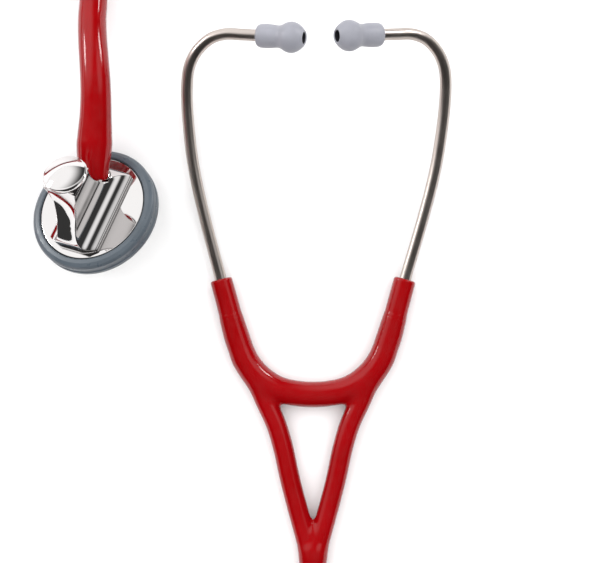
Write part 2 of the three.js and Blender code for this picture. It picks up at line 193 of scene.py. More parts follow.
def lathe(name, profile, segments, material, place, closed=False):
    """A profile of (radius, height) in millimetres turned round the Z axis, then placed by a matrix."""
    vertices = []
    uvs = []
    profile = np.array(profile, float)
    along = np.concatenate([[0], np.cumsum(np.linalg.norm(np.diff(profile, axis=0), axis=1))])
    for (radius, height), distance in zip(profile, along):
        for k in range(segments):
            angle = 2 * math.pi * k / segments
            local = Vector((radius * math.cos(angle), radius * math.sin(angle), height)) * MM
            vertices.append(place @ local)
            uvs.append((distance * MM, k / segments))
    faces = grid_faces(len(profile), segments, closed)
    item = new_object(name, vertices, faces, material, uvs)
    if not closed:
        weld(item, 0.00001)
    return item


def weld(item, distance):
    """Merges the points that meet on an axis and drops the faces that close up there."""
    work = bmesh.new()
    work.from_mesh(item.data)
    bmesh.ops.remove_doubles(work, verts=work.verts, dist=distance)
    bmesh.ops.recalc_face_normals(work, faces=work.faces)
    work.to_mesh(item.data)
    work.free()


def round_off(profile, radii, steps=6):
    """Rounds the corners of an open or closed outline: one radius a corner, zero for a sharp one."""
    profile = [np.array(p, float) for p in profile]
    outline = []
    count = len(profile)
    for i, (corner, radius) in enumerate(zip(profile, radii)):
        if radius == 0:
            outline.append(corner)
            continue
        before = profile[i - 1] - corner
        after = profile[(i + 1) % count] - corner
        reach_before, reach_after = np.linalg.norm(before), np.linalg.norm(after)
        before, after = before / reach_before, after / reach_after
        half = math.acos(max(-1, min(1, float(before @ after)))) / 2
        trim = min(radius / math.tan(half), 0.49 * reach_before, 0.49 * reach_after)
        start, end = corner + before * trim, corner + after * trim
        for t in np.linspace(0, 1, steps + 1):
            outline.append((1 - t) ** 2 * start + 2 * t * (1 - t) * corner + t ** 2 * end)
    return outline


# ---------------------------------------------------------------- materials

def node_material(name, color, roughness, metallic=0.0):
    """A new material in one even colour, and its Principled shader."""
    material = bpy.data.materials.new(name)
    material.use_nodes = True
    shader = material.node_tree.nodes["Principled BSDF"]
    shader.inputs["Base Color"].default_value = (*color, 1)
    shader.inputs["Roughness"].default_value = roughness
    shader.inputs["Metallic"].default_value = metallic
    return material, shader


def coordinates(tree, scale, kind="Object"):
    """Scaled texture coordinates."""
    where = tree.nodes.new("ShaderNodeTexCoord")
    mapping = tree.nodes.new("ShaderNodeMapping")
    mapping.inputs["Scale"].default_value = scale
    tree.links.new(where.outputs[kind], mapping.inputs["Vector"])
    return mapping.outputs["Vector"]


def noise(tree, vector, scale, detail=2.0, rough=0.5):
    """The value of a noise texture."""
    texture = tree.nodes.new("ShaderNodeTexNoise")
    texture.inputs["Scale"].default_value = scale
    texture.inputs["Detail"].default_value = detail
    texture.inputs["Roughness"].default_value = rough
    tree.links.new(vector, texture.inputs["Vector"])
    return texture.outputs["Fac"]


def spread(tree, factor, low, high, start=0.3, end=0.7):
    """Maps a texture's value between two limits."""
    ramp = tree.nodes.new("ShaderNodeMapRange")
    ramp.inputs["From Min"].default_value = start
    ramp.inputs["From Max"].default_value = end
    ramp.inputs["To Min"].default_value = low
    ramp.inputs["To Max"].default_value = high
    tree.links.new(factor, ramp.inputs["Value"])
    return ramp.outputs["Result"]


def tint(tree, factor, first, second):
    """A colour between two, by a factor."""
    mix = tree.nodes.new("ShaderNodeMix")
    mix.data_type = "RGBA"
    mix.inputs["A"].default_value = (*first, 1)
    mix.inputs["B"].default_value = (*second, 1)
    tree.links.new(factor, mix.inputs["Factor"])
    return mix.outputs["Result"]


def add_bump(tree, shader, height, distance):
    """Bumps the surface by a height texture, as deep as a distance in metres."""
    bump = tree.nodes.new("ShaderNodeBump")
    bump.inputs["Distance"].default_value = distance
    bump.inputs["Strength"].default_value = 1
    tree.links.new(height, bump.inputs["Height"])
    tree.links.new(bump.outputs["Normal"], shader.inputs["Normal"])


def red_tubing():
    """Glossy moulded tubing: deep red with a faint orange peel and slight unevenness in its gloss."""
    material, shader = node_material("red_tubing", (0.24, 0.0003, 0.0015), 0.14)
    shader.inputs["Specular IOR Level"].default_value = 0.36
    tree = material.node_tree
    place = coordinates(tree, (1, 1, 1))
    wide = spread(tree, noise(tree, place, 60, 3), 0, 1)
    color = tint(tree, wide, (0.228, 0.0002, 0.001), (0.262, 0.0004, 0.002))
    tree.links.new(color, shader.inputs["Base Color"])
    tree.links.new(spread(tree, noise(tree, place, 220, 3), 0.09, 0.19), shader.inputs["Roughness"])
    add_bump(tree, shader, noise(tree, place, 700, 2), 0.00002)
    return material


def mirror_steel():
    """Mirror-polished steel with faint smudges and the odd fine scratch."""
    material, shader = node_material("polished_steel", (0.68, 0.663, 0.658), 0.04, 1)
    tree = material.node_tree
    place = coordinates(tree, (1, 1, 1))
    smudge = spread(tree, noise(tree, place, 90, 5, 0.6), 0.025, 0.075, 0.4, 0.75)
    tree.links.new(smudge, shader.inputs["Roughness"])
    add_bump(tree, shader, noise(tree, place, 160, 1), 0.000012)
    return material


def satin_steel():
    """Drawn stainless tube: satin, slightly warm, with fine lines along its length."""
    material, shader = node_material("ear_tube_steel", (0.56, 0.50, 0.465), 0.33, 1)
    tree = material.node_tree
    shader.inputs["Specular Tint"].default_value = (0.42, 0.38, 0.36, 1)
    lines = noise(tree, coordinates(tree, (60, 110, 1), "UV"), 1.0, 4, 0.7)
    cloud = noise(tree, coordinates(tree, (1, 1, 1)), 120, 3)
    tree.links.new(tint(tree, lines, (0.50, 0.445, 0.41), (0.62, 0.56, 0.52)), shader.inputs["Base Color"])
    tree.links.new(spread(tree, cloud, 0.28, 0.38), shader.inputs["Roughness"])
    add_bump(tree, shader, lines, 0.000008)
    return material


def spring_steel():
    """Rolled spring steel: grey, with streaks along the strip."""
    material, shader = node_material("spring_steel", (0.45, 0.46, 0.48), 0.35, 1)
    tree = material.node_tree
    streaks = noise(tree, coordinates(tree, (1, 1, 9)), 260, 4, 0.7)
    tree.links.new(tint(tree, streaks, (0.36, 0.37, 0.39), (0.55, 0.56, 0.58)), shader.inputs["Base Color"])
    tree.links.new(spread(tree, streaks, 0.28, 0.44), shader.inputs["Roughness"])
    add_bump(tree, shader, streaks, 0.00001)
    return material


def slate_rim():
    """Moulded slate-grey rim: satin, with a very fine grain."""
    material, shader = node_material("grey_rim", (0.068, 0.084, 0.10), 0.33)
    tree = material.node_tree
    place = coordinates(tree, (1, 1, 1))
    cloud = spread(tree, noise(tree, place, 120, 4), 0, 1)
    color = tint(tree, cloud, (0.066, 0.082, 0.098), (0.078, 0.096, 0.115))
    tree.links.new(color, shader.inputs["Base Color"])
    tree.links.new(spread(tree, noise(tree, place, 400, 3), 0.26, 0.40), shader.inputs["Roughness"])
    add_bump(tree, shader, noise(tree, place, 1500, 2), 0.000006)
    return material


def soft_eartip():
    """Soft silicone-like eartip: light grey with a lilac cast and a dry satin surface."""
    material, shader = node_material("grey_eartip", (0.24, 0.243, 0.275), 0.42)
    tree = material.node_tree
    place = coordinates(tree, (1, 1, 1))
    cloud = spread(tree, noise(tree, place, 150, 4), 0, 1)
    color = tint(tree, cloud, (0.236, 0.239, 0.271), (0.262, 0.265, 0.301))
    tree.links.new(color, shader.inputs["Base Color"])
    tree.links.new(spread(tree, noise(tree, place, 500, 2), 0.36, 0.50), shader.inputs["Roughness"])
    add_bump(tree, shader, noise(tree, place, 2600, 2), 0.00002)
    return material


def white_plastic():
    """Off-white fibre-filled plastic, as on a diaphragm disc."""
    material, shader = node_material("white_plastic", (0.74, 0.725, 0.68), 0.4)
    tree = material.node_tree
    fibres = noise(tree, coordinates(tree, (1, 5, 1)), 900, 4, 0.7)
    tree.links.new(tint(tree, fibres, (0.66, 0.645, 0.60), (0.80, 0.79, 0.75)), shader.inputs["Base Color"])
    tree.links.new(spread(tree, fibres, 0.32, 0.5), shader.inputs["Roughness"])
    add_bump(tree, shader, fibres, 0.00002)
    return material


def painted_bore_shade():
    """Painted shade: a near-black colour for the inside of an eartip's bore, which is dark only from shadow."""
    material, shader = node_material("tip_bore_painted_shade", (0.012, 0.012, 0.015), 0.45)
    tree = material.node_tree
    grain = noise(tree, coordinates(tree, (1, 1, 1)), 900, 3)
    tree.links.new(spread(tree, grain, 0.38, 0.55), shader.inputs["Roughness"])
    add_bump(tree, shader, grain, 0.00001)
    return material


RED = red_tubing()
STEEL = mirror_steel()
TUBE_STEEL = satin_steel()
SPRING_STEEL = spring_steel()
RIM_GREY = slate_rim()
TIP_GREY = soft_eartip()
WHITE = white_plastic()
# near-black painted shade for the eartips' bores
BORE_SHADE = painted_bore_shade()


# ---------------------------------------------------------------- chestpiece placement

def chest_matrix():
    """From the chestpiece's own metres (X across, Y to the stem, Z out of the plate) to the frame's."""
    turn = (
        Matrix.Rotation(math.radians(CHEST_LEAN["azimuth"]), 4, "Z")
        @ Matrix.Rotation(math.radians(CHEST_LEAN["tilt"]), 4, "Y")
        @ Matrix.Rotation(math.radians(CHEST_LEAN["spin"]), 4, "Z")
    )
    face = next(m for m in frame["record"]["mounts"] if m["name"] == "diaphragm_face")
    outward = Vector(JOINTS["diaphragm_press"]["axis"])
    centre = Vector(face["pos_m"]) + outward * DIAPHRAGM_LOW * MM
    return Matrix.Translation(centre) @ turn


CHEST = chest_matrix()
STEM_AXIS = Vector((0, math.cos(math.radians(STEM_RISE)), math.sin(math.radians(STEM_RISE))))
ALONG_STEM = CHEST @ Vector((0, 0, 1)).rotation_difference(STEM_AXIS).to_matrix().to_4x4()


def on_stem(distance):
    return CHEST @ (STEM_AXIS * distance * MM)


# ---------------------------------------------------------------- tube

TUBE_ROUTE = [[0, YOKE_END, 5.6], [0, -140, 5.6], [-3.7, -156.4, 5.6], [-11.8, -169.7, 5.6],
              [-25.3, -180.3, 5.6], [-41.7, -185.1, 5.6], [-66.3, -183.2, 5.6], [-96.2, -171.1, 5.6],
              [-116.3, -157.7, 5.6], [-131.7, -142.4, 5.6], [-146.3, -119.4, 5.6],
              [-156.9, -84.5, 5.6], [-158.5, -26, 5.6], [-161.5, 33.1, 5.6], [-172.4, 78.7, 5.6],
              [-182.1, 115.1, 5.6], [-180.7, 136.3, 5.6], [-172, 152.9, 5.6], [-156.3, 164.9, 5.6],
              [-136.7, 168.9, 5.6], [-118.4, 164.6, 5.65], [-104, 153.8, 5.9], [-94.9, 139.5, 7.5],
              [-91, 123.8, 11.2], [-91, 107.7, 17.5], [-90.6, 100.5, 20.9], [-89.6, 89.5, 24.3],
              [-88.9, 79.2, 25.7]]
# Tube radius by distance from the chestpiece's end: the moulding swells over the barbed stem.
CUFF_SHAPE = [(0, 5.6), (0.25, 6.0), (0.8, 6.25), (3, 6.4), (6, 6.65), (9, 6.95), (12, 7.25),
              (15, 7.4), (18, 7.25), (21, 6.9), (25, 6.6), (34, 6.3), (50, 6.05), (75, 5.8), (110, 5.6)]

STRAIGHT_RUN = 11  # straight run of the tube beyond the cuff, in line with the stem
TUBE_STEP = 0.002
TUBE_SIDES = 56
CUFF_RINGS = 24
CRISP_END = 0.003  # metres at the chestpiece's end where the radii are left unsmoothed


def make_tube():
    """The free tube as one sweep, from the foot of the yoke to its seat on the chestpiece's stem."""
    seat = STEM_SEAT + GAP
    far = STEM_SEAT + CUFF_LENGTH + GAP
    points = [layout(*place) for place in TUBE_ROUTE] + [on_stem(far + STRAIGHT_RUN), on_stem(far)]
    samples, _ = smooth_line(points, TUBE_STEP)
    straight = [np.array(on_stem(far + (seat - far) * k / CUFF_RINGS)) for k in range(1, CUFF_RINGS + 1)]
    samples = np.concatenate([samples, straight])
    steps = np.linalg.norm(np.diff(samples, axis=0), axis=1)
    length = float(steps.sum())
    from_chest = length - np.concatenate([[0], np.cumsum(steps)])
    distances, radii = zip(*CUFF_SHAPE)
    widths = np.interp(from_chest / MM, distances, radii) * MM
    soft = np.convolve(np.pad(widths, 2, "edge"), np.ones(5) / 5, "valid")
    widths = np.where(from_chest > CRISP_END, soft, widths)
    tube = swept_tube("tube_moulding", samples, widths, TUBE_SIDES, RED)
    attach(tube, "base")
    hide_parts("tube", "tube_cuff")


# ---------------------------------------------------------------- yoke and arms as one soft moulding

ARM_POINTS = [[35.8, -8.5], [33.4, -17.5], [30.8, -26]]
CROSSBAR_POINTS = [[27.8, -33.5], [22.5, -39.6], [14.2, -44.9]]
CROSSBAR_MIDDLE = [0, -47.1]
LEG_POINTS = [[28.6, -31.5], [25.2, -38], [19.6, -50.2], [15.4, -59.4], [12.4, -69.4], [9.5, -82.7],
              [5.8, -96.9], [2.6, -108.5], [1.2, -114]]
ARM_RADII = [(0, 4.6), (12, 4.68), (18.2, 4.72), (19.6, 5.0), (28, 5.35), (40, 5.35)]
LEG_RADII = [(0, 3.6), (8, 4.1), (20, 4.3), (60, 4.2), (90, 4.25)]
NECK_RADII = [(0, 5.3), (6, TUBE_RADIUS), (20, TUBE_RADIUS)]
CHAIN_STEP = 1.6
WEB = 3.2  # how softly the branches of the fork run into each other
NECK_WEB = 2.5
LIP = 1.1  # rounding of the arm's mouth
SOCKET_RADIUS = 2.5
SOCKET_DEPTH = 14.5
SOCKET_LIP = 0.5
PIVOT = [30.8, -26]
ARM_CUT = 6  # the arms are cut from the yoke this far below their pivot
ARM_INSIDE = 12  # nothing nearer to the middle than this belongs to an arm
SKIN_STEP = 0.55
SKIN_LOW, SKIN_HIGH = (-46.0, YOKE_END - 1.0, -1.0), (46.0, 4.0, 12.2)
SEARCH_REACH = 14  # how far from a segment its distance is worked out


def mouth_of(name):
    return Vector(JOINTS[f"ear_turn_{name}"]["pos_m"])


def arm_axis(name):
    return Vector(JOINTS[f"ear_turn_{name}"]["axis"]).normalized()


def in_layout(place):
    return (Vector(place) - ORIGIN) / MM


def chain(points, radii, from_both_ends=False):
    """A line and the radius at each of its samples, from a table of radii by length."""
    samples, lengths = smooth_line(points, CHAIN_STEP)
    where = np.minimum(lengths, lengths[-1] - lengths) if from_both_ends else lengths
    distances, values = zip(*radii)
    return samples, np.interp(where, distances, values)


def yoke_chains():
    """The U with both arms, the two legs and the neck, in the layout's millimetres."""
    z = AXIS_HEIGHT
    half = {}
    for name, side in SIDES.items():
        mouth = np.array(in_layout(mouth_of(name)))
        outside = mouth + np.array(arm_axis(name)) * 3
        half[name] = [outside, mouth] + [np.array((side * x, y, z)) for x, y in ARM_POINTS + CROSSBAR_POINTS]
    middle = [np.array((*CROSSBAR_MIDDLE, z))]
    chains = [chain(half["left"] + middle + half["right"][::-1], ARM_RADII, from_both_ends=True)]
    for side in SIDES.values():
        chains.append(chain([(side * x, y, z) for x, y in LEG_POINTS], LEG_RADII))
    neck = [(0, -113, z), (0, -120, z), (0, YOKE_END - 3, z)]
    chains.append(chain(neck, NECK_RADII))
    return chains


def chain_distance(points, samples, radii):
    """Signed distance to a chain and the direction that it grows in."""
    best = np.full(len(points), 1e3)
    away = np.zeros((len(points), 3))
    for a, b, ra, rb in zip(samples[:-1], samples[1:], radii[:-1], radii[1:]):
        low = np.minimum(a, b) - SEARCH_REACH
        high = np.maximum(a, b) + SEARCH_REACH
        near = np.flatnonzero(np.all((points > low) & (points < high), axis=1))
        if len(near) == 0:
            continue
        ab = b - a
        t = np.clip((points[near] - a) @ ab / (ab @ ab), 0, 1)
        offset = points[near] - a - t[:, None] * ab
        reach = np.linalg.norm(offset, axis=1)
        distance = reach - (ra + t * (rb - ra))
        closer = distance < best[near]
        chosen = near[closer]
        best[chosen] = distance[closer]
        away[chosen] = offset[closer] / np.maximum(reach[closer], 1e-9)[:, None]
    return best, away


def soft_least(first, second, softness):
    """Union of two distance fields with a fillet between them."""
    (a, da), (b, db) = first, second
    h = np.clip(0.5 + 0.5 * (b - a) / softness, 0, 1)
    distance = b + (a - b) * h - softness * h * (1 - h)
    return distance, db + (da - db) * h[:, None]


def soft_most(first, second, softness):
    """Intersection of two distance fields with a rounded edge."""
    distance, away = soft_least((-first[0], -first[1]), (-second[0], -second[1]), softness)
    return -distance, -away


def plane_distance(points, place, normal):
    """Distance in front of a plane, and the plane's normal at each point."""
    normal = np.array(normal)
    return (points - np.array(place)) @ normal, np.tile(normal, (len(points), 1))


def skin_distance(points, chains):
    """Signed distance to the whole moulding, in the layout's millimetres."""
    fields = [chain_distance(points, *line) for line in chains]
    legs = soft_least(fields[1], fields[2], WEB)
    lower = soft_least(legs, fields[3], NECK_WEB)
    whole = soft_least(fields[0], lower, WEB)
    whole = soft_most(whole, plane_distance(points, (0, YOKE_END, 0), (0, -1, 0)), 0.01)
    for name in SIDES:
        mouth = np.array(in_layout(mouth_of(name)))
        axis = np.array(arm_axis(name))
        whole = soft_most(whole, plane_distance(points, mouth, axis), LIP)
        line = np.array([mouth + axis * 6, mouth - axis * SOCKET_DEPTH])
        socket, away = chain_distance(points, line, [SOCKET_RADIUS, SOCKET_RADIUS])
        whole = soft_most(whole, (-socket, -away), SOCKET_LIP)
    return whole


def surface_net(distance, low, step, shape):
    """Quads round the zero level of a distance field, with points near the middle of each cell."""
    axes = [low[i] + step * np.arange(shape[i]) for i in range(3)]
    points = np.stack(np.meshgrid(*axes, indexing="ij"), -1).reshape(-1, 3)
    inside = (distance(points)[0] < 0).reshape(shape)
    corners = np.zeros([n - 1 for n in shape], int)
    for i in (0, 1):
        for j in (0, 1):
            for k in (0, 1):
                corners += inside[i:i + shape[0] - 1, j:j + shape[1] - 1, k:k + shape[2] - 1]
    mixed = (corners > 0) & (corners < 8)
    index = np.full(mixed.shape, -1)
    index[mixed] = np.arange(mixed.sum())
    cells = np.argwhere(mixed)
    vertices = np.array(low) + (cells + 0.5) * step
    faces = []
    for axis in range(3):
        u, v = (axis + 1) % 3, (axis + 2) % 3
        here = np.take(inside, range(shape[axis] - 1), axis)
        there = np.take(inside, range(1, shape[axis]), axis)
        edges = np.argwhere(here != there)
        edges = edges[(edges[:, u] > 0) & (edges[:, v] > 0)]
        rising = here[tuple(edges.T)]
        corner = []
        for du, dv in ((1, 1), (0, 1), (0, 0), (1, 0)):
            cell = edges.copy()
            cell[:, u] -= du
            cell[:, v] -= dv
            corner.append(index[tuple(cell.T)])
        quads = np.stack(corner, 1)
        quads[~rising] = quads[~rising][:, ::-1]
        faces.append(quads)
    return vertices, np.concatenate(faces)


def settle(points, distance, rounds):
    """Moves points on to the zero level along the field's slope."""
    for _ in range(rounds):
        value, away = distance(points)
        size = np.maximum((away ** 2).sum(1), 0.2)
        points = points - away * (np.clip(value, -1, 1) / size)[:, None]
    return points


def even_out(points, faces, share):
    """Moves each point a share of the way to the middle of its neighbours."""
    total = np.zeros_like(points)
    count = np.zeros(len(points))
    for k in range(4):
        a, b = faces[:, k], faces[:, (k + 1) % 4]
        for p, q in ((a, b), (b, a)):
            np.add.at(total, p, points[q])
            np.add.at(count, p, 1)
    return points + share * (total / np.maximum(count, 1)[:, None] - points)


def moulding_mesh():
    """Points and quads of the whole moulding, evened out on its surface, and its distance field."""
    chains = yoke_chains()

    def distance(points):
        return skin_distance(points, chains)

    shape = [int(n) for n in np.ceil((np.array(SKIN_HIGH) - SKIN_LOW) / SKIN_STEP)]
    points, faces = surface_net(distance, SKIN_LOW, SKIN_STEP, shape)
    points = settle(points, distance, 3)
    for _ in range(3):
        points = settle(even_out(points, faces, 0.5), distance, 2)
    points = settle(points, distance, 2)
    return points, faces, distance


def part_of_moulding(name, points, faces, distance, keep):
    """One piece of the moulding: the faces that keep() takes, cut along a row of quads."""
    centres = points[faces].mean(1)
    chosen = faces[keep(centres)]
    used, flat = np.unique(chosen, return_inverse=True)
    corners = points[used]
    item = new_object(name, [layout(*p) for p in corners], flat.reshape(-1, 4), RED)
    _, away = distance(corners)
    normals = away / np.maximum(np.linalg.norm(away, axis=1), 1e-9)[:, None]
    item.data.normals_split_custom_set_from_vertices([tuple(n) for n in normals])
    return item


def arm_direction(side):
    """The way that the arm leaves its pivot."""
    below, above = np.array(CROSSBAR_POINTS[0]), np.array(ARM_POINTS[1])
    direction = (above - below) / np.linalg.norm(above - below)
    return np.array((side * direction[0], direction[1], 0))


def make_moulding():
    """The yoke on the base, and both arms as loose pieces cut from the same moulding."""
    points, faces, distance = moulding_mesh()

    def above_cut(centres, side):
        pivot = np.array((side * PIVOT[0], PIVOT[1], 0))
        far = (centres - pivot) @ arm_direction(side)
        return (far > -ARM_CUT) & (side * centres[:, 0] > ARM_INSIDE)

    yoke = part_of_moulding("yoke_moulding", points, faces, distance,
                            lambda c: ~(above_cut(c, -1) | above_cut(c, 1)))
    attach(yoke, "base")
    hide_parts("yoke")
    for name, side in SIDES.items():
        arm = part_of_moulding(f"arm_moulding_{name}", points, faces, distance,
                               lambda c, side=side: above_cut(c, side))
        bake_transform(arm)
        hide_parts(f"arm_{name}")


# ---------------------------------------------------------------- ear tubes and eartips

EAR_LINE = [[-14, 0], [0, 0], [25, -0.2], [40, 0.1], [51, 0.9], [63, 2.6], [74, 4.7],
            [83, 7.2], [88.7, 9.8], [93.9, 14.6], [97.3, 21.6], [97.5, 28.5], [95.4, 35.5]]
EAR_TUBE_SIDES = 40
EAR_TUBE_EDGE = 0.35
BORE_STRIDE = 4  # the bore has a ring at every fourth sample


def make_ear_tube(name):
    """A bent tube with a bore, from inside its socket to inside the eartip."""
    mouth, along = mouth_of(name), arm_axis(name)
    tip = JOINTS[f"tip_spin_{name}"]
    start, direction = Vector(tip["pos_m"]), Vector(tip["axis"]).normalized()
    inward = start - mouth
    inward = (inward - along * inward.dot(along)).normalized()
    points = [mouth + (along * a + inward * b) * MM for a, b in EAR_LINE]
    points += [start, start + direction * TUBE_IN_TIP * MM]
    samples, _ = smooth_line(points, 0.001)
    across, up = turning_frames(samples)
    angles = np.linspace(0, 2 * math.pi, EAR_TUBE_SIDES, endpoint=False)
    lengths = np.concatenate([[0], np.cumsum(np.linalg.norm(np.diff(samples, axis=0), axis=1))])
    last = len(samples) - 1
    loop = [(0, EAR_TUBE_BORE), (0, EAR_TUBE_RADIUS - EAR_TUBE_EDGE)]
    loop += [(i, EAR_TUBE_RADIUS) for i in range(1, last)]
    loop += [(last, EAR_TUBE_RADIUS - EAR_TUBE_EDGE), (last, EAR_TUBE_BORE)]
    loop += [(i, EAR_TUBE_BORE) for i in range(last - BORE_STRIDE, 3, -BORE_STRIDE)]
    vertices, uvs = [], []
    for i, radius in loop:
        ring = np.cos(angles)[:, None] * across[i] + np.sin(angles)[:, None] * up[i]
        vertices.extend(samples[i] + ring * radius * MM)
        uvs.extend((lengths[i], a / (2 * math.pi)) for a in angles)
    faces = grid_faces(len(loop), EAR_TUBE_SIDES, True)
    tube = new_object(f"ear_tube_steel_{name}", vertices, faces, TUBE_STEEL, uvs)
    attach(tube, f"ear_tube_{name}")
    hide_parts(f"ear_tube_{name}")


TIP_SEGMENTS = 72
CORE_ROOM = [(3.8, 7.8), (3.8, 0.9), (2.75, 0.9)]
SHADED_WITHIN, SHADED_FROM = 2.5, 7.9  # the part of the bore painted near-black as shade
TIP_OUTLINE = [[2.75, 0.0], [3.7, 0.05], [4.45, 0.5], [4.85, 1.4], [4.98, 2.6], [5.0, 4.0], [4.92, 6.0],
               [4.72, 7.8], [4.6, 8.9], [4.72, 9.8], [5.15, 10.9], [5.75, 12.0], [6.2, 13.1],
               [6.42, 14.2], [6.4, 15.3], [6.1, 16.5], [5.5, 17.7], [4.7, 18.8], [3.9, 19.6],
               [3.3, 20.1], [2.95, 20.35], [2.65, 20.3], [2.42, 20.0], [2.3, 19.4], [2.15, 18.0],
               [1.95, 15.0], [1.9, 8.0]]


def make_eartip(name):
    """A soft eartip turned round its own axis, hollow at the foot for its hard core."""
    joint = JOINTS[f"tip_spin_{name}"]
    turn = Vector((0, 0, 1)).rotation_difference(Vector(joint["axis"]))
    place = Matrix.Translation(Vector(joint["pos_m"])) @ turn.to_matrix().to_4x4()
    outline, _ = smooth_line([(r, z, 0) for r, z in TIP_OUTLINE], 0.35)
    profile = [(r, z) for r, z, _ in outline]
    profile += CORE_ROOM
    tip = lathe(f"eartip_soft_{name}", profile, TIP_SEGMENTS, TIP_GREY, place, closed=True)
    # the faces deep inside the bore get the near-black painted shade
    tip.data.materials.append(BORE_SHADE)
    for face in tip.data.polygons:
        radius, height = profile[face.index // TIP_SEGMENTS]
        face.material_index = int(radius < SHADED_WITHIN and height > SHADED_FROM)
    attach(tip, f"eartip_{name}")
    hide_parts(f"eartip_{name}")


# ---------------------------------------------------------------- chestpiece

PLATE_RADIUS = 22.8
PILLAR_SPIN = -9.5  # degrees that the pillar is turned on the plate, away from the stem
FOOT_RADIUS = 20.6
FOOT_HALF = 11.6
FOOT_WALL = 1.2
CAP_RADIUS = 9.2
CAP_CENTRE = (1.4, 29)
CAP_TILT = 14.5
CROWN_RADIUS = CAP_RADIUS - 0.6
CROWN_RISE = 2.3
CUFF_ROOM = 7.2
BOSS_RADIUS = 6.2
BOSS_START = 4.5
# Half the pillar's width, its hollowed front and its back, each against height.
PILLAR_WIDTHS = [(11.2, 1.6), (9, 2.4), (7.2, 3.6), (5.6, 5.7), (4.85, 8), (4.6, 11), (4.9, 15),
                 (5.5, 19), (6.4, 23), (7.4, 26), (8, 27.4)]
PILLAR_FRONT = [(-20, 1.5), (-18.9, 5.5), (-15.7, 10), (-11.6, 14.6), (-8.7, 19.2), (-6.9, 24), (-6.2, 27.4)]
PILLAR_BACK = [(18.2, 1.2), (13.9, 5), (10, 9), (7.6, 13), (6.6, 18), (6.6, 23), (6.8, 27.4)]
FRONT_HOLLOW = 1.0  # how far the front is hollowed across its width
PILLAR_EDGE = 0.3
PILLAR = CHEST @ Matrix.Rotation(math.radians(PILLAR_SPIN), 4, "Z")


def table_curve(places):
    """A smooth curve through (value, height) places, as a function of height."""
    line, _ = smooth_line([(value, height, 0) for value, height in places], 0.02)

    def at(height):
        return float(np.interp(height, line[:, 1], line[:, 0]))

    return at


half_width = table_curve(PILLAR_WIDTHS)
front_at = table_curve(PILLAR_FRONT)
back_at = table_curve(PILLAR_BACK)


def pillar_ring(z):
    """One level of the pillar, anticlockwise seen from above, with small round corners."""
    a = half_width(z) if z > FOOT_WALL + 0.4 else FOOT_HALF - 0.4 * max(0, (z - FOOT_WALL) / 0.4) ** 2
    front, back = front_at(z), back_at(z)
    radius = PILLAR_EDGE

    def front_y(x):
        hollow = FRONT_HOLLOW * (1 - (x / a) ** 2) * min(1, max(0, z - 5) / 6)
        return max(front + hollow, -math.sqrt(FOOT_RADIUS ** 2 - x * x))

    def back_y(x):
        return min(back, math.sqrt(FOOT_RADIUS ** 2 - x * x))

    turns = [math.pi / 2 * k / 5 for k in range(6)]
    share = np.linspace(0, 1, 27)[1:-1]
    xs = -a + radius + 2 * (a - radius) * share
    near, far = front_y(a - radius), back_y(a - radius)
    ys = near + radius + (far - near - 2 * radius) * share
    ring = [(-a + radius * (1 - math.cos(t)), near + radius * (1 - math.sin(t))) for t in turns]
    ring += [(x, front_y(x)) for x in xs]
    ring += [(a - radius * (1 - math.sin(t)), near + radius * (1 - math.cos(t))) for t in turns]
    ring += [(a, y) for y in ys]
    ring += [(a - radius * (1 - math.cos(t)), far - radius * (1 - math.sin(t))) for t in turns]
    ring += [(x, back_y(x)) for x in xs[::-1]]
    ring += [(-a + radius * (1 - math.sin(t)), far - radius * (1 - math.cos(t))) for t in turns]
    ring += [(-a, y) for y in ys[::-1]]
    return [(x, y, z) for x, y in ring]


def make_pillar():
    """The waisted pillar, level by level, closer together where it curves most."""
    levels = [-0.5, 0.6, 1.0, 1.2, 1.3, 1.4, 1.5, 1.56]
    levels += list(np.concatenate([np.linspace(1.62, 4.5, 34)[:-1], np.linspace(4.5, 12, 34)[:-1],
                                   np.linspace(12, 27.4, 34)]))
    rings = [pillar_ring(z) for z in levels]
    columns = len(rings[0])
    vertices = [PILLAR @ (Vector(p) * MM) for ring in rings for p in ring]
    faces = grid_faces(len(rings), columns)
    faces.append(tuple(range(columns - 1, -1, -1)))
    faces.append(tuple((len(rings) - 1) * columns + k for k in range(columns)))
    return new_object("chest_pillar", vertices, faces, STEEL)


def cut_room(item, radius, start, end):
    """Cuts a round room along the stem out of a piece."""
    profile = [(0, start), (radius, start), (radius, end), (0, end)]
    cutter = lathe("cutter", profile, 96, STEEL, ALONG_STEM)
    boolean = item.modifiers.new("room", "BOOLEAN")
    boolean.object = cutter
    boolean.operation = "DIFFERENCE"
    boolean.solver = "EXACT"
    apply_modifiers(item)
    bpy.data.objects.remove(cutter)


def apply_modifiers(item):
    """Turns an object's modifiers into its mesh."""
    graph = bpy.context.evaluated_depsgraph_get()
    mesh = bpy.data.meshes.new_from_object(item.evaluated_get(graph), depsgraph=graph)
    item.modifiers.clear()
    item.data = mesh


